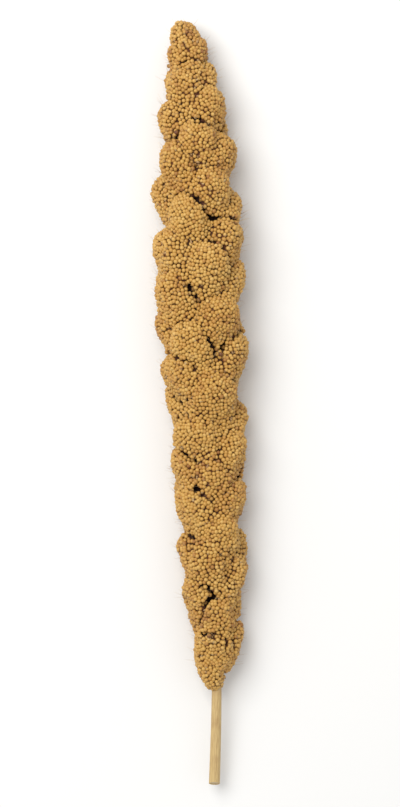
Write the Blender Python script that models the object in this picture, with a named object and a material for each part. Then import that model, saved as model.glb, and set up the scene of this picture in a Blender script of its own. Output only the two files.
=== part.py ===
"""A dried head of foxtail millet, cut with a short length of its stalk and lying on its side.

It is two pieces. The seed head is set all round with lobes, which lean towards its tip, and its
whole surface is covered with grains drawn larger than life. The stem stands in a plain hole in the
base of the head. +Y runs from the cut end of the stem to the tip of the head, +Z is up, and the
head rests on z = 0, where its lowest lobes are pressed flat. A station is a distance along the
axis from the base of the head, and lengths are in millimetres until a mesh is made.
"""

import math
import random
from collections import namedtuple

import bmesh
import bpy
from mathutils import Vector
from mathutils.bvhtree import BVHTree

MM = 0.001

# The axis that the head and the stem follow.
HEAD_LENGTH = 225.0
STEM_SHOWING = 44.0
STEM_SUNK = 12.0
ORIGIN_STATION = 94.6
# Station, sideways place and height of the points that the axis runs through.
AXIS_POINTS = (
    (-60.0, 4.8, 5.4),
    (0.0, 6.0, 9.8),
    (80.0, 2.9, 11.9),
    (130.0, -0.1, 14.0),
    (190.0, -1.7, 13.0),
    (240.0, -6.4, 8.8),
)
# Share of the head's length, and the half width of the head there.
HALF_WIDTHS = (
    (0.00, 7.0),
    (0.08, 11.2),
    (0.22, 13.4),
    (0.33, 13.9),
    (0.45, 16.2),
    (0.60, 17.0),
    (0.74, 16.2),
    (0.86, 13.2),
    (0.94, 9.4),
    (1.00, 5.6),
)
HEIGHT_TO_WIDTH = 0.90

# Lobes, which follow each other round the axis by the golden angle, clockwise as seen from the base.
SEED = 12
GOLDEN_ANGLE = math.radians(137.508)
FIRST_TURN = math.radians(180.0)
HALF_ACROSS = 8.0
HALF_ALONG = 13.0
HALF_DEEP = 7.0
LOBE_SQUARENESS = 2.5
LOBE_SPACING = 0.88
MIDDLE_LEAN = math.radians(30.0)
TIP_LEAN = math.radians(12.0)
FULL_SIZE_HALF_WIDTH = 14.0
SMALLEST_SIZE = 0.58
WIDTH_SCATTER = 0.12
LENGTH_SCATTER = 0.18
TURN_SCATTER = math.radians(14.0)
STATION_SCATTER = 2.5
DEPTH_SCATTER = 1.4
LOBE_DIVISIONS = 4

# Corners of the head's surface, of which every third stands out as a grain.
CORNERS_ROUND = 39
GRAIN_PROUD = 0.5
GRAIN_SUNK = 0.6
BASE_CAP_STATION = 5.0
TIP_CAP_STATION = 220.0
CAP_TURN = math.radians(82.0)
CORE_TO_WIDTH = 0.60
OUTSIDE = 40.0

# Width, length and depth of the ground that presses the lowest lobes flat.
GROUND = (100.0, 400.0, 20.0)

# The stem, a stalk with shallow ridges, and the hole that it stands in.
STEM_RADIUS = 1.75
CUT_END_RADIUS = 2.05
STEM_RIDGES = 9
RIDGE_RELIEF = 0.10
STEM_STEP = 4.5
CUT_SLANT = 0.9
FIT_GAP = 0.3
HOLE_SIDES = 12

# Looks.
GRAIN_COLOUR = (0.50, 0.29, 0.105)
GRAIN_ROUGHNESS = 0.62
STRAW_COLOUR = (0.55, 0.41, 0.20)
STRAW_ROUGHNESS = 0.55
SHARP_ANGLE = math.radians(60.0)

Lobe = namedtuple("Lobe", "centre across along out halves")


def smooth_between(points, place):
    """Value at a place on a smooth curve through points, which are pairs of place and value."""
    right = next((i for i, point in enumerate(points) if point[0] > place), len(points) - 1)
    right = max(right, 1)
    left = right - 1
    before = points[max(left - 1, 0)]
    after = points[min(right + 1, len(points) - 1)]
    start, end = points[left], points[right]
    span = end[0] - start[0]
    start_slope = (end[1] - before[1]) / (end[0] - before[0])
    end_slope = (after[1] - start[1]) / (after[0] - start[0])
    u = min(max((place - start[0]) / span, 0.0), 1.0)
    rise = u * u * (3.0 - 2.0 * u)
    bend = start_slope * u * (1.0 - u) ** 2 - end_slope * u * u * (1.0 - u)
    return start[1] + (end[1] - start[1]) * rise + span * bend


def axis_point(station):
    """Point of the axis at a station."""
    sideways = smooth_between([(s, x) for s, x, z in AXIS_POINTS], station)
    height = smooth_between([(s, z) for s, x, z in AXIS_POINTS], station)
    return Vector((sideways, station - ORIGIN_STATION, height))


def axis_frame(station):
    """Forward, sideways and upward directions of the axis at a station."""
    forward = (axis_point(station + 1.0) - axis_point(station - 1.0)).normalized()
    side = forward.cross(Vector((0.0, 0.0, 1.0))).normalized()
    return forward, side, side.cross(forward)


def half_width(station):
    """Half width of the head at a station."""
    return smooth_between(HALF_WIDTHS, station / HEAD_LENGTH)


def place_lobe(station, angle, lean, stand_off, halves):
    """A lobe beside the axis, leaning out towards the tip, with its outermost point at the stand-off."""
    forward, side, up = axis_frame(station)
    outwards = side * math.cos(angle) + up * (math.sin(angle) * HEIGHT_TO_WIDTH)
    reach = math.hypot(halves.y * math.sin(lean), halves.z * math.cos(lean))
    centre = axis_point(station) + outwards * max(0.0, stand_off - reach)
    outwards.normalize()
    along = forward * math.cos(lean) + outwards * math.sin(lean)
    out = outwards * math.cos(lean) - forward * math.sin(lean)
    return Lobe(centre, along.cross(out), along, out, halves)


def lay_out_lobes():
    """Lobes from the base of the head to its tip, each a golden angle round from the last, clockwise."""
    draw = random.Random(SEED)
    lobes = []
    station = 0.0
    turn = FIRST_TURN
    while station < HEAD_LENGTH:
        width = half_width(station)
        grown = min(1.0, max(SMALLEST_SIZE, width / FULL_SIZE_HALF_WIDTH))
        across = HALF_ACROSS * grown * (1.0 + draw.uniform(-WIDTH_SCATTER, WIDTH_SCATTER))
        along = HALF_ALONG * grown * (1.0 + draw.uniform(-LENGTH_SCATTER, LENGTH_SCATTER))
        angle = turn - draw.uniform(-TURN_SCATTER, TURN_SCATTER)
        place = station + draw.uniform(-STATION_SCATTER, STATION_SCATTER)
        stand_off = width - draw.uniform(0.0, DEPTH_SCATTER)
        lean = TIP_LEAN + (MIDDLE_LEAN - TIP_LEAN) * grown ** 2
        lobes.append(place_lobe(place, angle, lean, stand_off, Vector((across, along, HALF_DEEP * grown))))
        station += LOBE_SPACING * 4.0 * across * along / (math.tau * width)
        turn -= GOLDEN_ANGLE
    last = Vector((HALF_ACROSS, HALF_ALONG, HALF_DEEP)) * SMALLEST_SIZE
    lobes.append(place_lobe(HEAD_LENGTH, turn, 0.0, 0.0, last))
    return lobes


def lobe_reach(lobe, direction):
    """Distance from a lobe's centre to its rounded surface, along a direction in its own frame."""
    shares = (abs(direction[i] / lobe.halves[i]) ** LOBE_SQUARENESS for i in range(3))
    return sum(shares) ** (-1.0 / LOBE_SQUARENESS)


def lobe_surfaces(lobes):
    """Search tree of the lobes' smooth surfaces, in millimetres."""
    bm = bmesh.new()
    for lobe in lobes:
        ball = bmesh.ops.create_icosphere(bm, subdivisions=LOBE_DIVISIONS, radius=1.0)["verts"]
        for vertex in ball:
            local = vertex.co.normalized() * lobe_reach(lobe, vertex.co.normalized())
            vertex.co = lobe.centre + lobe.across * local.x + lobe.along * local.y + lobe.out * local.z
    tree = BVHTree.FromBMesh(bm)
    bm.free()
    return tree


def ring_stations():
    """Station and tilt of each ring of corners: round the base, along the head and round the tip."""
    step = math.tau / CORNERS_ROUND * math.sin(math.radians(60.0))
    cap_rings = round(CAP_TURN / step)
    tilts = [CAP_TURN * i / cap_rings for i in range(1, cap_rings + 1)]
    rings = [(BASE_CAP_STATION, -tilt) for tilt in reversed(tilts)]
    station = BASE_CAP_STATION
    while station < TIP_CAP_STATION:
        rings.append((station, 0.0))
        station += half_width(station) * step
    rings += [(TIP_CAP_STATION, tilt) for tilt in [0.0] + tilts]
    return rings


def surface_corner(tree, station, tilt, angle, rise):
    """Corner of the head's surface, looked for from the axis at an angle round it and a tilt along it."""
    forward, side, up = axis_frame(station)
    outwards = side * math.cos(angle) + up * (math.sin(angle) * HEIGHT_TO_WIDTH)
    ray = (outwards.normalized() * math.cos(tilt) + forward * math.sin(tilt)).normalized()
    start = axis_point(station)
    hit, normal, index, distance = tree.ray_cast(start + ray * OUTSIDE, -ray, OUTSIDE)
    core = CORE_TO_WIDTH * half_width(station)
    found = core if hit is None else max(core, OUTSIDE - distance)
    return start + ray * (found + rise)


def make_grain_surface(tree):
    """Closed mesh of the head. Its rings of corners are staggered, and every third corner is a grain."""
    bm = bmesh.new()
    rings = []
    for j, (station, tilt) in enumerate(ring_stations()):
        ring = []
        for i in range(CORNERS_ROUND):
            angle = math.tau * (i + j / 2.0) / CORNERS_ROUND
            rise = GRAIN_PROUD if (i - j) % 3 == 0 else -GRAIN_SUNK
            ring.append(bm.verts.new(surface_corner(tree, station, tilt, angle, rise) * MM))
        rings.append(ring)
    for ring, following in zip(rings, rings[1:]):
        for i in range(CORNERS_ROUND):
            after = (i + 1) % CORNERS_ROUND
            bm.faces.new((ring[i], ring[after], following[i]))
            bm.faces.new((ring[i], following[i], following[i - 1]))
    bm.faces.new(rings[0])
    bm.faces.new(rings[-1])
    bmesh.ops.recalc_face_normals(bm, faces=bm.faces[:])
    return bm


def make_tube(stations, sides, radius_at, slant=0.0):
    """Closed tube along the axis. Its first end is cut at a slant."""
    bm = bmesh.new()
    rings = []
    for station in stations:
        forward, side, up = axis_frame(station)
        ring = []
        for k in range(sides):
            angle = math.tau * k / sides
            offset = side * math.cos(angle) + up * math.sin(angle)
            place = axis_point(station) + offset * radius_at(station, k)
            if station == stations[0]:
                place += forward * (slant * math.sin(angle))
            ring.append(bm.verts.new(place * MM))
        rings.append(ring)
    for ring, following in zip(rings, rings[1:]):
        for k in range(sides):
            after = (k + 1) % sides
            bm.faces.new((ring[k], ring[after], following[after], following[k]))
    bm.faces.new(rings[0])
    bm.faces.new(rings[-1])
    bmesh.ops.recalc_face_normals(bm, faces=bm.faces[:])
    return bm


def spread(start, end, step):
    """Even stations from start to end, about a step apart."""
    count = round((end - start) / step)
    return [start + (end - start) * i / count for i in range(count + 1)]


def add_object(name, bm, collection):
    """New object that holds a mesh."""
    mesh = bpy.data.meshes.new(name)
    bm.to_mesh(mesh)
    bm.free()
    thing = bpy.data.objects.new(name, mesh)
    collection.objects.link(thing)
    return thing


def cut(thing, cutter):
    """Cut an object from another, and remove it."""
    boolean = thing.modifiers.new(cutter.name, "BOOLEAN")
    boolean.operation = "DIFFERENCE"
    boolean.solver = "EXACT"
    boolean.object = cutter
    evaluated = thing.evaluated_get(bpy.context.evaluated_depsgraph_get())
    left = bpy.data.meshes.new_from_object(evaluated)
    thing.modifiers.clear()
    thing.data = left
    bpy.data.objects.remove(cutter, do_unlink=True)


def finish(thing, colour, roughness):
    """Smooth shading and a plain dry-straw material."""
    material = bpy.data.materials.new(thing.name)
    material.use_nodes = True
    shader = material.node_tree.nodes["Principled BSDF"]
    shader.inputs["Base Color"].default_value = (*colour, 1.0)
    shader.inputs["Roughness"].default_value = roughness
    shader.inputs["Metallic"].default_value = 0.0
    thing.data.materials.clear()
    thing.data.materials.append(material)
    thing.data.shade_smooth()
    thing.data.set_sharp_from_angle(angle=SHARP_ANGLE)


def stem_radius(station, k):
    """Radius of the stem, which thickens towards its cut end and has a ridge at every second corner."""
    thickness = STEM_RADIUS + (CUT_END_RADIUS - STEM_RADIUS) * max(0.0, -station / STEM_SHOWING)
    return thickness * (1.0 if k % 2 == 0 else 1.0 - RIDGE_RELIEF)


def hole_radius(station, k):
    """Corner radius of the hole, whose flats clear the stem by the gap."""
    return (stem_radius(station, 0) + FIT_GAP) / math.cos(math.pi / HOLE_SIDES)


def make_seed_head(scene):
    """The lobes and their grains in one solid, flat where it lies and with the stem's hole in its base."""
    head = add_object("seed_head", make_grain_surface(lobe_surfaces(lay_out_lobes())), scene)

    ground = bmesh.new()
    bmesh.ops.create_cube(ground, size=1.0)
    for vertex in ground.verts:
        vertex.co = Vector((vertex.co.x, vertex.co.y, vertex.co.z - 0.5)) * Vector(GROUND) * MM
    cut(head, add_object("ground", ground, scene))

    stations = spread(-STEM_SHOWING / 2.0, STEM_SUNK + FIT_GAP, STEM_STEP)
    cut(head, add_object("hole", make_tube(stations, HOLE_SIDES, hole_radius), scene))
    finish(head, GRAIN_COLOUR, GRAIN_ROUGHNESS)
    return head


def make_stem(scene):
    """The stalk, cut on a slant."""
    stations = spread(-STEM_SHOWING, STEM_SUNK, STEM_STEP)
    stalk = make_tube(stations, 2 * STEM_RIDGES, stem_radius, CUT_SLANT)
    stem = add_object("stem", stalk, scene)
    finish(stem, STRAW_COLOUR, STRAW_ROUGHNESS)
    return stem


for leftover in list(bpy.data.objects):
    bpy.data.objects.remove(leftover, do_unlink=True)

scene = bpy.context.scene.collection
millet = bpy.data.objects.new("millet", None)
scene.objects.link(millet)
for thing in (make_seed_head(scene), make_stem(scene)):
    thing.parent = millet
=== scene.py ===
"""A dried head of foxtail millet on a short cut stalk, lying on its side.

Its lobes are covered with grains, among papery scales and fine bristles. Lengths are in millimetres until a
mesh is made. A station is a distance along the head's axis from its base.
"""

import math
import random
from collections import namedtuple

import bpy
import numpy as np
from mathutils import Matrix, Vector, noise
from mathutils.bvhtree import BVHTree
from mathutils.kdtree import KDTree


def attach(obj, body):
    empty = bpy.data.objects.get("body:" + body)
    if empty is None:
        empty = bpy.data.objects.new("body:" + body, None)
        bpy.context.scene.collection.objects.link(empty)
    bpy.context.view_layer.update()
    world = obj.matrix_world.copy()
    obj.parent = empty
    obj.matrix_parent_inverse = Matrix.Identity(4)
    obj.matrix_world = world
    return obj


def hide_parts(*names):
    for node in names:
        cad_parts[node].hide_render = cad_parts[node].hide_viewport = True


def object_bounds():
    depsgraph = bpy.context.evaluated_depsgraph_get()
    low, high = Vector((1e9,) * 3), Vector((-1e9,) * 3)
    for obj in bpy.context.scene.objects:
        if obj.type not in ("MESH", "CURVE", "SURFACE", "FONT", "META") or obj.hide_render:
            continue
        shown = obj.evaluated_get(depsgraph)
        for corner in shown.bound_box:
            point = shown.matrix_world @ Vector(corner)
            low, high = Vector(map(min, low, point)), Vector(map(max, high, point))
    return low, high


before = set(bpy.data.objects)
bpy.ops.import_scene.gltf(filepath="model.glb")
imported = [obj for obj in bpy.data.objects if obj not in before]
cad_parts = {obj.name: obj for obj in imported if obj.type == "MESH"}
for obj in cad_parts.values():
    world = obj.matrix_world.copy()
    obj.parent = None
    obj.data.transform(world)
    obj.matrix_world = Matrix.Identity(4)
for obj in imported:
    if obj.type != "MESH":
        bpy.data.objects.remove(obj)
cad_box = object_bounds()

# The lobes.
# Short side branches grow round the stalk in a spiral and press together into lobes, which lean towards the
# tip. Each lobe is a rounded lump of brown husks, in which the grains sit. All are joined into one skin,
# rough and wrinkled, which shows between the grains and in the cracks that stay open between some lobes.

MM = 0.001
HEAD_LENGTH = 225.0
ORIGIN_STATION = 94.6
# Station, sideways place and height of the points that the axis runs through.
AXIS_POINTS = (
    (-60.0, 4.8, 5.4),
    (0.0, 6.0, 9.8),
    (80.0, 2.9, 11.9),
    (130.0, -0.1, 14.0),
    (190.0, -1.7, 13.0),
    (240.0, -6.4, 8.8),
)
# Share of the head's length, and the half width of the head there.
HALF_WIDTHS = (
    (0.00, 7.0),
    (0.08, 11.2),
    (0.22, 13.4),
    (0.33, 13.9),
    (0.45, 16.2),
    (0.60, 17.0),
    (0.74, 16.2),
    (0.86, 13.2),
    (0.94, 9.4),
    (1.00, 5.6),
)
HEIGHT_TO_WIDTH = 0.90
LOBE_SEED = 12
GOLDEN_ANGLE = math.radians(137.508)
FIRST_TURN = math.radians(180.0)
HALF_ACROSS = 8.0
HALF_ALONG = 13.0
HALF_DEEP = 7.0
LOBE_SQUARENESS = 2.5
LOBE_SPACING = 0.88
MIDDLE_LEAN = math.radians(30.0)
TIP_LEAN = math.radians(12.0)
FULL_SIZE_HALF_WIDTH = 14.0
SMALLEST_SIZE = 0.58
WIDTH_SCATTER = 0.12
LENGTH_SCATTER = 0.18
TURN_SCATTER = math.radians(14.0)
STATION_SCATTER = 2.5
DEPTH_SCATTER = 1.4

Lobe = namedtuple("Lobe", "centre directions halves")


def smooth_between(points, place):
    """Value at a place on a smooth curve through points, which are pairs of place and value."""
    right = next((i for i, point in enumerate(points) if point[0] > place), len(points) - 1)
    right = max(right, 1)
    left = right - 1
    before = points[max(left - 1, 0)]
    after = points[min(right + 1, len(points) - 1)]
    start, end = points[left], points[right]
    span = end[0] - start[0]
    start_slope = (end[1] - before[1]) / (end[0] - before[0])
    end_slope = (after[1] - start[1]) / (after[0] - start[0])
    u = min(max((place - start[0]) / span, 0.0), 1.0)
    rise = u * u * (3.0 - 2.0 * u)
    bend = start_slope * u * (1.0 - u) ** 2 - end_slope * u * u * (1.0 - u)
    return start[1] + (end[1] - start[1]) * rise + span * bend


def axis_point(station):
    """Point of the axis at a station."""
    sideways = smooth_between([(s, x) for s, x, z in AXIS_POINTS], station)
    height = smooth_between([(s, z) for s, x, z in AXIS_POINTS], station)
    return Vector((sideways, station - ORIGIN_STATION, height))


def axis_frame(station):
    """Forward, sideways and upward directions of the axis at a station."""
    forward = (axis_point(station + 1.0) - axis_point(station - 1.0)).normalized()
    side = forward.cross(Vector((0.0, 0.0, 1.0))).normalized()
    return forward, side, side.cross(forward)


def half_width(station):
    """Half width of the head at a station."""
    return smooth_between(HALF_WIDTHS, station / HEAD_LENGTH)


def place_lobe(station, angle, lean, stand_off, halves):
    """A lobe beside the axis, leaning out towards the tip, with its outermost point at the stand-off."""
    forward, side, up = axis_frame(station)
    outwards = side * math.cos(angle) + up * (math.sin(angle) * HEIGHT_TO_WIDTH)
    reach = math.hypot(halves[1] * math.sin(lean), halves[2] * math.cos(lean))
    centre = axis_point(station) + outwards * max(0.0, stand_off - reach)
    outwards.normalize()
    along = forward * math.cos(lean) + outwards * math.sin(lean)
    out = outwards * math.cos(lean) - forward * math.sin(lean)
    return Lobe(np.array(centre), np.array((along.cross(out), along, out)), np.array(halves))


def lay_out_lobes():
    """Lobes from base to tip, each a golden angle clockwise from the last as seen from the base."""
    draw = random.Random(LOBE_SEED)
    lobes = []
    station = 0.0
    turn = FIRST_TURN
    while station < HEAD_LENGTH:
        width = half_width(station)
        grown = min(1.0, max(SMALLEST_SIZE, width / FULL_SIZE_HALF_WIDTH))
        across = HALF_ACROSS * grown * (1.0 + draw.uniform(-WIDTH_SCATTER, WIDTH_SCATTER))
        along = HALF_ALONG * grown * (1.0 + draw.uniform(-LENGTH_SCATTER, LENGTH_SCATTER))
        angle = turn - draw.uniform(-TURN_SCATTER, TURN_SCATTER)
        place = station + draw.uniform(-STATION_SCATTER, STATION_SCATTER)
        stand_off = width - draw.uniform(0.0, DEPTH_SCATTER)
        lean = TIP_LEAN + (MIDDLE_LEAN - TIP_LEAN) * grown ** 2
        lobes.append(place_lobe(place, angle, lean, stand_off, (across, along, HALF_DEEP * grown)))
        station += LOBE_SPACING * 4.0 * across * along / (math.tau * width)
        turn -= GOLDEN_ANGLE
    last = [half * SMALLEST_SIZE for half in (HALF_ACROSS, HALF_ALONG, HALF_DEEP)]
    lobes.append(place_lobe(HEAD_LENGTH, turn, 0.0, 0.0, last))
    return lobes


def lobe_reach(directions, halves):
    """Distance from a lobe's centre to its rounded surface, along each direction in its own frame."""
    return (np.abs(directions / halves) ** LOBE_SQUARENESS).sum(1) ** (-1.0 / LOBE_SQUARENESS)


NEAR = 4.0
FAR = 30.0
MERGING = 1.15
SWELL = 0.5
SWELL_LENGTH = 5.0
NUDGE = 0.02
GENTLEST_SLOPE = 0.5
LONGEST_MOVE = 1.0
CRACK_SEED = 20
# Lobes this many steps apart in the spiral lie side by side in the rows that run aslant along the head.
ROW_STEP = 3
OPEN_SHARE_IN_ROWS = 0.60
OPEN_SHARE_ELSEWHERE = 0.28
OPENING_STEEPNESS = 1.5
CRACK_THIN = 1.0
CRACK_WIDE = 2.1
CRACK_DEPTH = 4.0
# A crack is open where its level plus its contrast times a noise is high. A slow noise ends it somewhere
# along the furrow, and a quick one breaks it into pits.
CRACK_LENGTH = 8.0
CRACK_LEVEL = 0.7
CRACK_CONTRAST = 1.8
PIT_LENGTH = 2.2
PIT_LEVEL = 0.75
PIT_CONTRAST = 1.6
FURROW_DEPTH = 0.30
SHALLOW_TURN = 0.45
STEEP_TURN = 0.85
SKIN_STEPS = 3
HUSKS_SUNK = 0.85
HUSK_VOXEL = 0.80
HUSKS_ABOVE_GROUND = 0.9
HUSK_WRINKLE = 0.25
HUSK_WRINKLE_LENGTH = 1.2

lobes = lay_out_lobes()


def unit(vectors):
    """The same directions, of length 1."""
    return vectors / np.linalg.norm(vectors, axis=1)[:, None]


def smooth_step(values):
    """0 up to 0, 1 from 1 on, and a smooth step between them."""
    values = np.clip(values, 0.0, 1.0)
    return values * values * (3.0 - 2.0 * values)


def noise_at(points, length):
    """Smooth noise from about -1 to 1 at each point, whose lumps are of this length."""
    return np.array([noise.noise(Vector(point) / length) for point in points])


def gaps_to_lobes(points):
    """How far each point lies outside each lobe, or below 0 inside it. Those of far lobes are left out."""
    gaps = np.full((len(lobes), len(points)), FAR)
    for gap, lobe in zip(gaps, lobes):
        near = np.where(np.linalg.norm(points - lobe.centre, axis=1) < lobe.halves.max() + NEAR)[0]
        own = (points[near] - lobe.centre) @ lobe.directions.T
        gap[near] = np.linalg.norm(own, axis=1) - lobe_reach(unit(own), lobe.halves)
    return gaps


def lobe_normals(points, lobe):
    """The way that a lobe's surface faces nearest to each point."""
    own = (points - lobe.centre) @ lobe.directions.T
    steepness = np.sign(own) * np.abs(own) ** (LOBE_SQUARENESS - 1.0) / lobe.halves ** LOBE_SQUARENESS
    return unit(steepness) @ lobe.directions


chances = np.random.default_rng(CRACK_SEED).uniform(0.0, 1.0, (len(lobes), len(lobes)))
chances = np.triu(chances) + np.triu(chances).T
steps_apart = np.abs(np.subtract.outer(np.arange(len(lobes)), np.arange(len(lobes))))
open_shares = np.where(steps_apart == ROW_STEP, OPEN_SHARE_IN_ROWS, OPEN_SHARE_ELSEWHERE)
pair_openings = smooth_step(OPENING_STEEPNESS - OPENING_STEEPNESS * chances / open_shares)


def cracks_at(points):
    """How open the crack between a point's two nearest lobes is, and how near the point is to its bottom.

    Both are given for each point, from 0 to 1.
    """
    gaps = gaps_to_lobes(points)
    first, second = np.argpartition(gaps, 1, axis=0)[:2]
    ways = np.zeros((2, len(points), 3))
    for number, lobe in enumerate(lobes):
        for way, chosen in zip(ways, (first, second)):
            way[chosen == number] = lobe_normals(points[chosen == number], lobe)
    turn = np.linalg.norm(ways[1] - ways[0], axis=1)
    each = np.arange(len(points))
    away = np.abs(gaps[second, each] - gaps[first, each]) / np.maximum(turn, SHALLOW_TURN)
    opened = pair_openings[first, second] * smooth_step((turn - SHALLOW_TURN) / (STEEP_TURN - SHALLOW_TURN))
    opened *= smooth_step(CRACK_LEVEL + CRACK_CONTRAST * noise_at(points, CRACK_LENGTH))
    opened *= smooth_step(PIT_LEVEL + PIT_CONTRAST * noise_at(points, PIT_LENGTH))
    return opened, 1.0 - smooth_step(away / (CRACK_THIN + (CRACK_WIDE - CRACK_THIN) * opened))


def whole_gap(points):
    """How far each point lies outside the head as it would be without cracks, its lobes merged."""
    merged = -MERGING * np.log(np.exp(-gaps_to_lobes(points) / MERGING).sum(0))
    return merged - SWELL * noise_at(points, SWELL_LENGTH)


def groove_depths(points):
    """How deep the surface lies under the whole head's, in the furrows and cracks between lobes."""
    opened, near = cracks_at(points)
    return (FURROW_DEPTH + (CRACK_DEPTH - FURROW_DEPTH) * opened) * near


def head_gap(points):
    """How far each point lies outside the head with its cracks."""
    return whole_gap(points) + groove_depths(points)


def settle(points, gap_outside, steps):
    """Points moved straight in or out to where the gap is 0, and the way out of the head at each."""
    for step in range(steps):
        gap = gap_outside(points)
        slopes = np.stack([gap_outside(points + shift) - gap for shift in np.eye(3) * NUDGE], 1) / NUDGE
        steepness = np.linalg.norm(slopes, axis=1)[:, None]
        moves = -slopes / np.maximum(steepness, GENTLEST_SLOPE) ** 2 * gap[:, None]
        points = points + moves / np.maximum(np.linalg.norm(moves, axis=1) / LONGEST_MOVE, 1.0)[:, None]
    return points, slopes / np.maximum(steepness, 1e-6)


def places_of(thing):
    """The places of a mesh's vertices, in metres."""
    found = np.empty(3 * len(thing.data.vertices), np.float32)
    thing.data.vertices.foreach_get("co", found)
    return found.reshape(-1, 3).astype(float)


bpy.ops.object.select_all(action="DESELECT")
bpy.ops.mesh.primitive_ico_sphere_add(subdivisions=4, radius=1.0)
ball = bpy.context.object
ball_directions = np.array([vertex.co.normalized() for vertex in ball.data.vertices])
for lobe in lobes:
    lump = ball.copy()
    lump.data = ball.data.copy()
    bpy.context.collection.objects.link(lump)
    own = ball_directions * lobe_reach(ball_directions, lobe.halves)[:, None]
    lump.data.vertices.foreach_set("co", ((lobe.centre + own @ lobe.directions) * MM).ravel())
    lump.select_set(True)
bpy.data.objects.remove(ball)
bpy.context.view_layer.objects.active = lump
bpy.ops.object.join()
husks = bpy.context.object
husks.name = "husks"
joining = husks.modifiers.new("one skin", "REMESH")
joining.mode = "VOXEL"
joining.voxel_size = HUSK_VOXEL * MM
bpy.ops.object.modifier_apply(modifier=joining.name)

# The skin is settled in millimetres first, as the grains are spread over it, and then sunk under them.
outside_places, outside_normals = settle(places_of(husks) / MM, whole_gap, SKIN_STEPS)
husks.data.vertices.foreach_set("co", outside_places.ravel())
husks.data.update()
outside_areas = np.empty(len(husks.data.polygons), np.float32)
husks.data.polygons.foreach_get("area", outside_areas)
outside_middles = np.empty(3 * len(outside_areas), np.float32)
husks.data.polygons.foreach_get("center", outside_middles)
wrinkles = HUSK_WRINKLE * noise_at(outside_places, HUSK_WRINKLE_LENGTH)
sunk = HUSKS_SUNK + groove_depths(outside_places) + wrinkles
skin_places = outside_places - outside_normals * sunk[:, None]
groove = np.prod(cracks_at(outside_places), axis=0)
skin_places[:, 2] = np.maximum(skin_places[:, 2], HUSKS_ABOVE_GROUND)
husks.data.vertices.foreach_set("co", (skin_places * MM).ravel())
husks.data.update()
husks.data.shade_smooth()


class Signal:
    """An output of a node in a material. Sums written with it add Math nodes to that material."""

    def __init__(self, tree, output):
        self.tree = tree
        self.output = output

    def node(self, kind, inputs, output=0, **settings):
        """Add any node: its settings first, then the values or links of its inputs. Gives one output."""
        made = self.tree.nodes.new(kind)
        stops = settings.pop("stops", ())
        for name, value in settings.items():
            setattr(made, name, value)
        for i, (place, colour) in enumerate(stops):
            stop = made.color_ramp.elements[i] if i < 2 else made.color_ramp.elements.new(place)
            stop.position = place
            stop.color = (*colour, 1.0)
        for name, value in inputs.items():
            if isinstance(value, Signal):
                self.tree.links.new(value.output, made.inputs[name])
            else:
                made.inputs[name].default_value = value
        return Signal(self.tree, made.outputs[output])

    def sum(self, operation, first, second):
        """A Math node's result for two signals or numbers."""
        return self.node("ShaderNodeMath", {0: first, 1: second}, operation=operation)

    def __add__(self, other):
        return self.sum("ADD", self, other)

    def __radd__(self, other):
        return self.sum("ADD", other, self)

    def __sub__(self, other):
        return self.sum("SUBTRACT", self, other)

    def __rsub__(self, other):
        return self.sum("SUBTRACT", other, self)

    def __mul__(self, other):
        return self.sum("MULTIPLY", self, other)

    def __rmul__(self, other):
        return self.sum("MULTIPLY", other, self)

    def between(self, low, high):
        """0 at the low value, 1 at the high one, and a smooth step between them."""
        limits = {"Value": self, "From Min": low, "From Max": high}
        return self.node("ShaderNodeMapRange", limits, interpolation_type="SMOOTHSTEP")

    def noise(self, size, detail=2.0):
        """Noise about 0.5 whose lumps have a size in millimetres, where this signal is a place."""
        inputs = {"Vector": self, "Scale": 1.0 / (size * MM), "Detail": detail}
        return self.node("ShaderNodeTexNoise", inputs)

    def attribute(self, name):
        return self.node("ShaderNodeAttribute", {}, "Fac", attribute_name=name)

    def mixed(self, first, second):
        """The first colour where this signal is 0, and the second where it is 1."""
        colours = {"Factor": self, "A": first, "B": second}
        return self.node("ShaderNodeMix", colours, "Result", data_type="RGBA")


def start_material(name):
    """A new material, its Principled shader, and the place on the piece as a signal."""
    material = bpy.data.materials.new(name)
    material.use_nodes = True
    tree = material.node_tree
    coordinates = tree.nodes.new("ShaderNodeTexCoord")
    return material, tree.nodes["Principled BSDF"], Signal(tree, coordinates.outputs["Object"])


def feed(shader, name, signal):
    """Link a signal to an input of the shader."""
    signal.tree.links.new(signal.output, shader.inputs[name])


# The darkest husk colour is painted shade, for the skin deep in the head and at the bottom of the grooves.
HUSK_PAINTED_SHADE = (0.022, 0.008, 0.006, 1.0)
HUSK_BROWN = (0.12, 0.040, 0.019, 1.0)
HUSK_PALE = (0.28, 0.125, 0.052, 1.0)

material, shader, place = start_material("husks")
# Painted shade: the skin is darkened to near black towards the head's axis and in the grooves between
# lobes, where shade falls. The brown and pale flecks are the husks' own colour.
shade = place.attribute("outer").between(0.60, 0.95) * (1.0 - place.attribute("groove").between(0.0, 0.6))
flecks = place.noise(0.7, 3.0).between(0.52, 0.72)
colour = shade.mixed(HUSK_PAINTED_SHADE, (flecks * 0.8).mixed(HUSK_BROWN, HUSK_PALE))
feed(shader, "Base Color", colour)
shader.inputs["Roughness"].default_value = 0.8
shader.inputs["Specular IOR Level"].default_value = 0.15
scales = place.node("ShaderNodeBump", {"Height": place.noise(0.4), "Strength": 0.6, "Distance": 0.2 * MM})
feed(shader, "Normal", scales)
husks.data.materials.append(material)


def outer_share(points):
    """How far out each point lies between the axis and the head's outside, from 0 to about 1."""
    shares = []
    for point in points:
        station = point[1] + ORIGIN_STATION
        middle = axis_point(station)
        rise = (point[2] - middle.z) / HEIGHT_TO_WIDTH
        shares.append(math.hypot(point[0] - middle.x, rise) / half_width(station))
    return np.array(shares)


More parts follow.
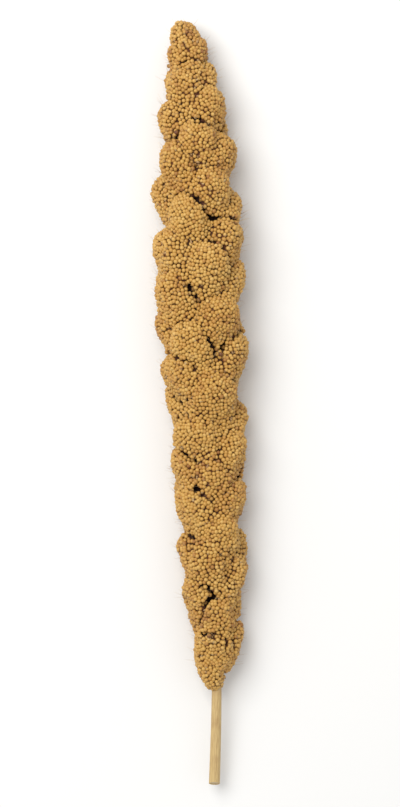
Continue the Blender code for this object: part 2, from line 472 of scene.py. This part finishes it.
def set_attribute(thing, name, values):
    """Give a piece's vertices a value each, for its material to read."""
    attribute = thing.data.attributes.new(name, "FLOAT", "POINT")
    attribute.data.foreach_set("value", np.asarray(values, np.float32))


# These two attributes mark where the husks' material paints shade: towards the axis and in the grooves.
set_attribute(husks, "outer", outer_share(skin_places))
set_attribute(husks, "groove", groove)
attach(husks, "root")
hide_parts("seed_head")

# The grains.
# Each lobe is packed with some 150 round grains of 1.5 to 2 mm, each in its own smooth, dry husk, blunt end
# out and leaning a little towards the tip. Where the head lies on the surface they are pressed flat. A few
# are missing, mostly beside cracks. They are one modelled grain, copied into five strips round the head.

GRAIN_SEED = 5
GRAIN_PITCH = 1.50
GRAIN_HALF_WIDTH = 0.85
GRAIN_FLATTENING = 0.95
GRAIN_HALF_LENGTH = 0.98
GRAIN_SHOULDER = 0.90
GRAIN_SUNK = 0.60
GRAIN_LIFT_SCATTER = 0.14
GRAIN_CLUSTER = 2.6
GRAIN_CLUSTER_LIFT = 0.45
GRAIN_PLACE_SCATTER = 0.14
GRAIN_TURN_SCATTER = 0.25
GRAIN_SIZE_SCATTER = 0.12
GRAIN_OUTWARDS = 0.8
GRAIN_TIPWARDS = 0.55
FIRST_SCATTER = 0.2
CROWDING = 1.3
CLOSEST = 0.05
PUSH = 0.3
NEIGHBOURS = 9
SETTLING_STEPS = 12
FILL_ROOM = 1.06
DEEPEST_FILLED = 0.35
PRESSED_BELOW = 0.30
GROUND_LEVEL = 0.02
GROUND_SCATTER = 0.15
RAYS = 14
RAY_START = 0.3
RAY_LENGTH = 40.0
SEEN_FROM = 0.07
MISSING_IN_CRACKS = 0.30
MISSING_ELSEWHERE = 0.012
RIPENESS = 0.53
RIPENESS_SCATTER = 0.15
LOBE_RIPENESS_SCATTER = 0.06
STRIPS = 5
CELL_MARGIN = 0.06

bpy.ops.object.select_all(action="DESELECT")
bpy.ops.mesh.primitive_uv_sphere_add(segments=10, ring_count=5, radius=1.0)
grain = bpy.context.object
grain.scale = (GRAIN_HALF_WIDTH, GRAIN_HALF_WIDTH * GRAIN_FLATTENING, GRAIN_HALF_LENGTH)
bpy.ops.object.transform_apply(location=False, rotation=False, scale=True)


def select_vertices(thing, wanted):
    """In edit mode, select just the vertices whose place is wanted."""
    bpy.ops.object.mode_set(mode="EDIT")
    bpy.ops.mesh.select_mode(type="VERT")
    bpy.ops.mesh.select_all(action="DESELECT")
    bpy.ops.object.mode_set(mode="OBJECT")
    for vertex in thing.data.vertices:
        vertex.select = wanted(vertex.co)
    bpy.ops.object.mode_set(mode="EDIT")


select_vertices(grain, lambda co: 0.5 * GRAIN_HALF_LENGTH < co.z < 0.95 * GRAIN_HALF_LENGTH)
bpy.ops.transform.resize(value=(GRAIN_SHOULDER, GRAIN_SHOULDER, 1.0))
select_vertices(grain, lambda co: co.z < -0.5 * GRAIN_HALF_LENGTH)
bpy.ops.mesh.merge(type="CENTER")
bpy.ops.object.mode_set(mode="OBJECT")

draw = np.random.default_rng(GRAIN_SEED)


def tree_of(points):
    """A search tree that finds the nearest of these points."""
    tree = KDTree(len(points))
    for number, point in enumerate(points):
        tree.insert(point, number)
    tree.balance()
    return tree


def spread_over_head():
    """Evenly spread places all over the head, and the way out of it at each."""
    areas = outside_areas.astype(float)
    count = int(areas.sum() / (math.sqrt(0.75) * GRAIN_PITCH ** 2))
    chosen = draw.choice(len(areas), count, replace=False, p=areas / areas.sum())
    points = outside_middles.reshape(-1, 3)[chosen] + draw.normal(0.0, FIRST_SCATTER, (count, 3))
    for step in range(SETTLING_STEPS):
        points, normals = settle(points, head_gap, 1)
        tree = tree_of(points)
        near = np.array([[other[1] for other in tree.find_n(point, NEIGHBOURS)[1:]] for point in points])
        apart = points[:, None] - points[near]
        gaps = np.linalg.norm(apart, axis=2)[:, :, None]
        push = np.clip(GRAIN_PITCH * CROWDING - gaps, 0.0, None) / np.maximum(gaps, CLOSEST)
        points = points + PUSH * (apart * push).sum(1)
    return settle(points + draw.normal(0.0, GRAIN_PLACE_SCATTER, points.shape), head_gap, 2)


def filled_in(points, normals):
    """The same places, and more of them lower down, wherever the others leave room for a grain."""
    tree = tree_of(points - normals * GRAIN_SUNK)
    added, ways = [], []
    for number in draw.permutation(len(husks.data.polygons)):
        face = husks.data.polygons[number]
        spot = np.array(face.center) / MM
        if tree.find(spot)[2] < FILL_ROOM or groove[list(face.vertices)].max() > DEEPEST_FILLED:
            continue
        if added and np.linalg.norm(np.array(added) - spot, axis=1).min() < FILL_ROOM:
            continue
        added.append(spot)
        ways.append(np.array(face.normal))
    added, ways = np.array(added), np.array(ways)
    return np.concatenate([points, added + ways * GRAIN_SUNK]), np.concatenate([normals, ways])


def openness_of(points, normals):
    """Share of the directions in front of each point in which it sees out of the head."""
    tree = BVHTree.FromPolygons(skin_places, [tuple(face.vertices) for face in husks.data.polygons])
    rays = unit(draw.normal(0.0, 1.0, (RAYS, 3)))
    shares = []
    for point, normal in zip(points, normals):
        start = Vector(point + normal * RAY_START)
        facing = rays * np.where(rays @ normal > 0.0, 1.0, -1.0)[:, None]
        free = sum(tree.ray_cast(start, Vector(ray), RAY_LENGTH)[0] is None for ray in facing)
        shares.append(free / RAYS)
    return np.array(shares)


points, normals = filled_in(*spread_over_head())
nearest_lobes = gaps_to_lobes(points).argmin(0)
tipwards = np.array([lobe.directions[1] for lobe in lobes])[nearest_lobes]
pressed = points[:, 2] < PRESSED_BELOW
points[pressed, 2] = PRESSED_BELOW
normals[pressed] = (0.0, 0.0, -1.0)
openness = openness_of(points, normals)
chance = draw.uniform(0.0, 1.0, len(points))
in_crack = np.prod(cracks_at(points), axis=0)
seen = openness > SEEN_FROM
kept = seen & (chance > MISSING_ELSEWHERE + MISSING_IN_CRACKS * in_crack)
fallen = seen & ~kept
fallen_points, fallen_normals = points[fallen], normals[fallen]
points, normals, tipwards, openness = (each[kept] for each in (points, normals, tipwards, openness))
owners = nearest_lobes[kept]

count = len(points)
lift = draw.normal(-GRAIN_SUNK, GRAIN_LIFT_SCATTER, count)
lift += GRAIN_CLUSTER_LIFT * noise_at(points, GRAIN_CLUSTER)
leaning = normals * GRAIN_OUTWARDS + tipwards * GRAIN_TIPWARDS
long_ways = unit(leaning + draw.normal(0.0, GRAIN_TURN_SCATTER, normals.shape))
side_ways = unit(np.cross(long_ways, draw.normal(0.0, 1.0, long_ways.shape)))
sizes = 1.0 + draw.uniform(-GRAIN_SIZE_SCATTER, GRAIN_SIZE_SCATTER, count)
grain_spots = np.stack([side_ways, np.cross(long_ways, side_ways), long_ways], 1) * sizes[:, None, None]
grain_middles = points + normals * lift[:, None]
ripeness = draw.normal(RIPENESS, RIPENESS_SCATTER, count)
ripeness += LOBE_RIPENESS_SCATTER * draw.normal(0.0, 1.0, len(lobes))[owners]


def corners_of(thing):
    """The vertex at each corner of a mesh's faces, how many corners each face has, and their UVs."""
    mesh = thing.data
    vertices = np.empty(len(mesh.loops), np.int64)
    mesh.loops.foreach_get("vertex_index", vertices)
    sides = np.array([face.loop_total for face in mesh.polygons])
    layout = np.empty(2 * len(mesh.loops), np.float32)
    mesh.uv_layers.active.uv.foreach_get("vector", layout)
    return vertices, sides, layout.reshape(-1, 2)


def plant(name, form, middles, spots):
    """One piece that holds a copy of a modelled form at each middle, along the directions of its spot.

    Each copy has a cell of its own on the piece's UV map. Those on the ground are pressed flat, each at a
    height of its own, so that no two of them share a plane.
    """
    shape = places_of(form)
    vertices, sides, layout = corners_of(form)
    count = len(middles)
    places = middles[:, None] + np.einsum("vk,nkj->nvj", shape, spots)
    grounds = GROUND_LEVEL + draw.uniform(0.0, GROUND_SCATTER, (count, 1))
    places[:, :, 2] = np.maximum(places[:, :, 2], grounds)
    mesh = bpy.data.meshes.new(name)
    mesh.vertices.add(count * len(shape))
    mesh.vertices.foreach_set("co", (places * MM).astype(np.float32).ravel())
    mesh.loops.add(count * len(vertices))
    firsts = np.arange(count)[:, None] * len(shape)
    mesh.loops.foreach_set("vertex_index", (firsts + vertices[None]).astype(np.int32).ravel())
    mesh.polygons.add(count * len(sides))
    starts = np.concatenate([[0], np.cumsum(np.tile(sides, count))[:-1]])
    mesh.polygons.foreach_set("loop_start", starts.astype(np.int32))
    across = math.ceil(math.sqrt(count))
    cells = np.stack([np.arange(count) % across, np.arange(count) // across], 1)
    uv = (cells[:, None] + CELL_MARGIN + (1.0 - 2.0 * CELL_MARGIN) * layout[None]) / across
    mesh.uv_layers.new(name="OFBake").uv.foreach_set("vector", uv.astype(np.float32).ravel())
    mesh.update(calc_edges=True)
    mesh.validate()
    mesh.shade_smooth()
    piece = bpy.data.objects.new(name, mesh)
    bpy.context.collection.objects.link(piece)
    return piece


GRAIN_BROWN = (0.265, 0.105, 0.026)
GRAIN_TAN = (0.455, 0.230, 0.050)
GRAIN_GOLD = (0.540, 0.308, 0.072)
GRAIN_PALE = (0.610, 0.380, 0.115)
# The near-black foot colour is painted shade, for the hidden sides and feet of the grains and the gaps
# between them.
GRAIN_FOOT_PAINTED_SHADE = (0.092, 0.021, 0.009, 1.0)

material, shader, place = start_material("grains")
ripe = place.attribute("ripeness") + (place.noise(9.0) - 0.5) * 0.5
stops = ((0.0, GRAIN_BROWN), (0.3, GRAIN_TAN), (0.62, GRAIN_GOLD), (1.0, GRAIN_PALE))
body = ripe.node("ShaderNodeValToRGB", {"Fac": ripe}, "Color", stops=stops)
# Painted shade: each grain is darkened towards the near-black foot colour where it is hidden inside the
# head (low openness) and towards its foot among its neighbours. The brown to pale ramp is the grains' own
# colour, varied at random.
openness_painted_light = place.attribute("openness").between(0.05, 0.60) * 0.65 + 0.35
shown = openness_painted_light * (place.attribute("rise").between(0.20, 0.72) * 0.75 + 0.25)
feed(shader, "Base Color", shown.mixed(GRAIN_FOOT_PAINTED_SHADE, body))
feed(shader, "Roughness", 0.40 + place.noise(0.5) * 0.2)
shader.inputs["Specular IOR Level"].default_value = 0.38
skin = place.node("ShaderNodeBump", {"Height": place.noise(0.16), "Strength": 0.25, "Distance": 0.03 * MM})
feed(shader, "Normal", skin)

beside = np.array([axis_point(point[1] + ORIGIN_STATION) for point in points])
order = np.argsort(np.arctan2(points[:, 2] - beside[:, 2], points[:, 0] - beside[:, 0]))
heights = places_of(grain)[:, 2]
rises = (heights - heights.min()) / np.ptp(heights)
for number, strip in enumerate(np.array_split(order, STRIPS), 1):
    grains = plant(f"grains_{number}", grain, grain_middles[strip], grain_spots[strip])
    # Openness and rise also drive the painted shade in the grains' material.
    set_attribute(grains, "ripeness", np.repeat(ripeness[strip], len(heights)))
    set_attribute(grains, "openness", np.repeat(openness[strip], len(heights)))
    set_attribute(grains, "rise", np.tile(rises, len(strip)))
    grains.data.materials.append(material)
    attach(grains, "root")
    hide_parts("seed_head")
bpy.data.objects.remove(grain)

# The chaff.
# Thin, cupped, papery scales clasp some of the grains from below. More of them lie empty in the cracks and
# where grains have fallen out. They are one modelled scale, copied.

CHAFF_SHARE = 0.16
SCALES_A_HOLE = 3
SCALE_HALF_LENGTH = 0.75
SCALE_HALF_WIDTH = 0.50
SCALE_HALF_THICKNESS = 0.07
SCALE_CUP = 0.16
SCALE_TURN_SCATTER = 0.6
EMPTY_OUTWARDS = 0.5
EMPTY_SUNK = 0.6
EMPTY_SCATTER = 0.4

bpy.ops.object.select_all(action="DESELECT")
bpy.ops.mesh.primitive_uv_sphere_add(segments=6, ring_count=3, radius=1.0)
scale = bpy.context.object
scale.scale = (SCALE_HALF_WIDTH, SCALE_HALF_THICKNESS, SCALE_HALF_LENGTH)
bpy.ops.object.transform_apply(location=False, rotation=False, scale=True)
select_vertices(scale, lambda co: abs(co.x) > 0.6 * SCALE_HALF_WIDTH)
bpy.ops.transform.translate(value=(0.0, -SCALE_CUP, 0.0))
bpy.ops.object.mode_set(mode="OBJECT")

clasped = draw.choice(count, int(count * CHAFF_SHARE), replace=False)
clasped_ways = long_ways[clasped]
backs = unit(draw.normal(0.0, SCALE_TURN_SCATTER, clasped_ways.shape) - tipwards[clasped])
edges = unit(np.cross(backs, clasped_ways))
backs = np.cross(clasped_ways, edges)
clasping = grain_middles[clasped] + backs * (GRAIN_HALF_WIDTH * sizes[clasped])[:, None]
hole_points = np.repeat(fallen_points, SCALES_A_HOLE, 0)
hole_normals = np.repeat(fallen_normals, SCALES_A_HOLE, 0)
empty_turns = draw.normal(0.0, SCALE_TURN_SCATTER, hole_normals.shape)
empty_ways = unit(hole_normals * EMPTY_OUTWARDS + empty_turns)
empty_edges = unit(np.cross(hole_normals, empty_ways))
empty = hole_points - hole_normals * EMPTY_SUNK + draw.normal(0.0, EMPTY_SCATTER, hole_points.shape)
scale_ways = np.concatenate([clasped_ways, empty_ways])
scale_edges = np.concatenate([edges, empty_edges])
scale_spots = np.stack([scale_edges, np.cross(scale_ways, scale_edges), scale_ways], 1)
chaff = plant("chaff", scale, np.concatenate([clasping, empty]), scale_spots)
bpy.data.objects.remove(scale)

CHAFF_STRAW = (0.50, 0.34, 0.15, 1.0)
CHAFF_BROWN = (0.33, 0.18, 0.070, 1.0)

material, shader, place = start_material("chaff")
feed(shader, "Base Color", place.noise(1.6).between(0.36, 0.58).mixed(CHAFF_STRAW, CHAFF_BROWN))
shader.inputs["Roughness"].default_value = 0.65
veins = place.node("ShaderNodeBump", {"Height": place.noise(0.12), "Strength": 0.4, "Distance": 0.05 * MM})
feed(shader, "Normal", veins)
chaff.data.materials.append(material)
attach(chaff, "root")
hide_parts("seed_head")

# The bristles.
# Fine stiff straw-coloured bristles stand among the grains, a few to each patch of lobe. They are one
# modelled bristle, thin as a hair and slightly bent, copied between the grains and kept off the ground.

BRISTLE_COUNT = 1700
BRISTLE_RADIUS = 0.055
BRISTLE_TIP_RADIUS = 0.015
BRISTLE_BEND = 0.07
SHORTEST_BRISTLE = 2.0
SHORTEST_BROKEN = 1.2
LONGEST_BRISTLE = 4.6
BRISTLE_SUNK = 0.5
BRISTLE_PLACE_SCATTER = 0.4
BRISTLE_OUTWARDS = 0.75
BRISTLE_TIPWARDS = 0.6
BRISTLE_TURN_SCATTER = 0.25
BRISTLE_ABOVE_GROUND = 0.165
# How far past the solids' box bristles may reach, to each side.
BRISTLE_ROOM = (0.9, 3.0, 0.8)

bpy.ops.object.select_all(action="DESELECT")
bpy.ops.mesh.primitive_cone_add(
    vertices=3, radius1=BRISTLE_RADIUS, radius2=BRISTLE_TIP_RADIUS, depth=1.0, location=(0.0, 0.0, 0.5)
)
bristle = bpy.context.object
bpy.ops.object.transform_apply(location=True, rotation=False, scale=False)
bpy.ops.object.mode_set(mode="EDIT")
bpy.ops.mesh.select_mode(type="EDGE")
bpy.ops.mesh.select_all(action="DESELECT")
bpy.ops.object.mode_set(mode="OBJECT")
for edge in bristle.data.edges:
    ends = [bristle.data.vertices[i].co.z for i in edge.vertices]
    edge.select = abs(ends[0] - ends[1]) > 0.5
bpy.ops.object.mode_set(mode="EDIT")
bpy.ops.mesh.subdivide(number_cuts=1)
select_vertices(bristle, lambda co: 0.4 < co.z < 0.6)
bpy.ops.transform.translate(value=(BRISTLE_BEND, 0.0, 0.0))
bpy.ops.object.mode_set(mode="OBJECT")

rooted = draw.choice(count, BRISTLE_COUNT, replace=False)
roots = points[rooted] - normals[rooted] * BRISTLE_SUNK
roots += draw.normal(0.0, BRISTLE_PLACE_SCATTER, roots.shape)
leaning = normals[rooted] * BRISTLE_OUTWARDS + tipwards[rooted] * BRISTLE_TIPWARDS
ways = unit(leaning + draw.normal(0.0, BRISTLE_TURN_SCATTER, roots.shape))
lengths = draw.uniform(SHORTEST_BRISTLE, LONGEST_BRISTLE, BRISTLE_COUNT)
lowest = np.array(cad_box[0]) / MM - BRISTLE_ROOM
highest = np.array(cad_box[1]) / MM + BRISTLE_ROOM
lowest[2] = BRISTLE_ABOVE_GROUND
room = np.where(ways > 0.0, highest - roots, lowest - roots) / np.where(ways == 0.0, 1.0, ways)
lengths = np.minimum(lengths, room.min(1))
standing = lengths > SHORTEST_BROKEN
roots, ways, lengths = roots[standing], ways[standing], lengths[standing]
sides = unit(np.cross(ways, draw.normal(0.0, 1.0, ways.shape)))
spots = np.stack([sides, np.cross(ways, sides), ways * lengths[:, None]], 1)
bristles = plant("bristles", bristle, roots, spots)
bpy.data.objects.remove(bristle)

BRISTLE_STRAW = (0.60, 0.44, 0.20, 1.0)
BRISTLE_BROWN = (0.33, 0.17, 0.07, 1.0)

material, shader, place = start_material("bristles")
feed(shader, "Base Color", place.noise(5.0).between(0.40, 0.62).mixed(BRISTLE_STRAW, BRISTLE_BROWN))
shader.inputs["Roughness"].default_value = 0.4
bristles.data.materials.append(material)
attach(bristles, "root")
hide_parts("seed_head")

# The stalk.
# A length of the plant's straw stalk, cut on a slant below the head and sunk in the head's base. It has
# fine ridges along it and a pithy middle, which shows at the cut. It is a disc, extruded along the axis.

STALK_SHOWING = 44.0
STALK_SUNK = 12.0
STALK_RADIUS = 1.75
CUT_END_RADIUS = 2.05
STALK_RIDGES = 13
RIDGE_RELIEF = 0.035
STALK_SIDES = 52
STALK_STEP = 1.0
CUT_SLANT = 0.9
RIND = 0.32
PITH_SUNK = 0.25

bpy.ops.object.select_all(action="DESELECT")
bpy.ops.mesh.primitive_circle_add(
    vertices=STALK_SIDES, radius=1.0, fill_type="NGON", rotation=(math.radians(90.0), 0.0, 0.0)
)
stalk = bpy.context.object
stalk.name = "stalk"
bpy.ops.object.transform_apply(location=False, rotation=True, scale=False)
bpy.ops.object.mode_set(mode="EDIT")
bpy.ops.mesh.select_all(action="SELECT")
steps = round((STALK_SHOWING + STALK_SUNK) / STALK_STEP)
for step in range(steps):
    bpy.ops.mesh.extrude_region_move(TRANSFORM_OT_translate={"value": (0.0, STALK_STEP, 0.0)})
select_vertices(stalk, lambda co: abs(co.y) < 0.01)
bpy.ops.mesh.edge_face_add()
bpy.ops.mesh.inset(thickness=RIND / CUT_END_RADIUS)
bpy.ops.transform.translate(value=(0.0, PITH_SUNK, 0.0))
bpy.ops.mesh.normals_make_consistent(inside=False)
bpy.ops.object.mode_set(mode="OBJECT")
pith_face = next(face for face in stalk.data.polygons if abs(face.center.y - PITH_SUNK) < 0.1 * PITH_SUNK)

for vertex in stalk.data.vertices:
    share = math.hypot(vertex.co.x, vertex.co.z)
    angle = math.atan2(vertex.co.z, vertex.co.x)
    station = vertex.co.y - STALK_SHOWING
    forward, side, up = axis_frame(station)
    thickness = STALK_RADIUS + (CUT_END_RADIUS - STALK_RADIUS) * max(0.0, -station / STALK_SHOWING)
    thickness *= 1.0 + RIDGE_RELIEF * (math.cos(STALK_RIDGES * angle) - 1.0)
    offset = (side * math.cos(angle) + up * math.sin(angle)) * (share * thickness)
    slant = CUT_SLANT * share * math.sin(angle) * max(0.0, 1.0 - vertex.co.y / STALK_STEP)
    vertex.co = (axis_point(station) + offset + forward * slant) * MM
stalk.data.shade_smooth()
stalk.data.set_sharp_from_angle(angle=math.radians(50.0))

STRAW = (0.56, 0.40, 0.17, 1.0)
STRAW_BROWN = (0.36, 0.21, 0.08, 1.0)
PITH = (0.68, 0.55, 0.34, 1.0)
PITH_BROWN = (0.40, 0.29, 0.16, 1.0)

material, shader, place = start_material("straw")
streaks = place.node("ShaderNodeMapping", {"Vector": place, "Scale": (1.0, 0.06, 1.0)}, "Vector")
stains = place.noise(6.0).between(0.45, 0.75)
lines = streaks.noise(0.35, 3.0).between(0.35, 0.7)
feed(shader, "Base Color", (lines * 0.6 + stains * 0.3).mixed(STRAW, STRAW_BROWN))
shader.inputs["Roughness"].default_value = 0.5
fibres = place.node(
    "ShaderNodeBump", {"Height": streaks.noise(0.25), "Strength": 0.5, "Distance": 0.1 * MM}
)
feed(shader, "Normal", fibres)
stalk.data.materials.append(material)

material, shader, place = start_material("pith")
feed(shader, "Base Color", place.noise(0.3, 3.0).between(0.35, 0.7).mixed(PITH, PITH_BROWN))
shader.inputs["Roughness"].default_value = 0.85
cells = place.node(
    "ShaderNodeBump", {"Height": place.noise(0.2, 3.0), "Strength": 0.8, "Distance": 0.15 * MM}
)
feed(shader, "Normal", cells)
stalk.data.materials.append(material)
pith_face.material_index = 1
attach(stalk, "root")
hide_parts("stem")

# The setting.
# A pale floor, soft light from the upper left, and a camera that looks straight down, with the tip upwards.

FLOOR_HALF = 3.0
PICTURE_HEIGHT = 0.296
CAMERA_HEIGHT = 1.2
FLOOR_COLOUR = (0.80, 0.79, 0.77, 1.0)
KEY_PLACE = (-0.30, 0.30, 0.75)
KEY_SIZE = 0.6
KEY_POWER = 6.1
SKY = (0.98, 0.99, 1.0, 1.0)
SKY_STRENGTH = 0.75

bpy.ops.mesh.primitive_plane_add(size=2.0 * FLOOR_HALF)
floor = bpy.context.object
floor.name = "floor"
material, shader, place = start_material("floor")
shader.inputs["Base Color"].default_value = FLOOR_COLOUR
shader.inputs["Roughness"].default_value = 0.9
floor.data.materials.append(material)

bpy.ops.object.light_add(type="AREA", location=KEY_PLACE)
key = bpy.context.object
key.data.size = KEY_SIZE
key.data.energy = KEY_POWER
key.rotation_euler = (-Vector(KEY_PLACE)).to_track_quat("-Z", "Y").to_euler()

world = bpy.data.worlds.new("sky")
world.use_nodes = True
world.node_tree.nodes["Background"].inputs["Color"].default_value = SKY
world.node_tree.nodes["Background"].inputs["Strength"].default_value = SKY_STRENGTH
bpy.context.scene.world = world

bpy.ops.object.camera_add(location=(0.0, 0.0, CAMERA_HEIGHT), rotation=(0.0, 0.0, 0.0))
camera = bpy.context.object
camera.data.sensor_fit = "VERTICAL"
camera.data.lens = camera.data.sensor_height * CAMERA_HEIGHT / PICTURE_HEIGHT
bpy.context.scene.camera = camera
bpy.context.scene.view_settings.view_transform = "Standard"
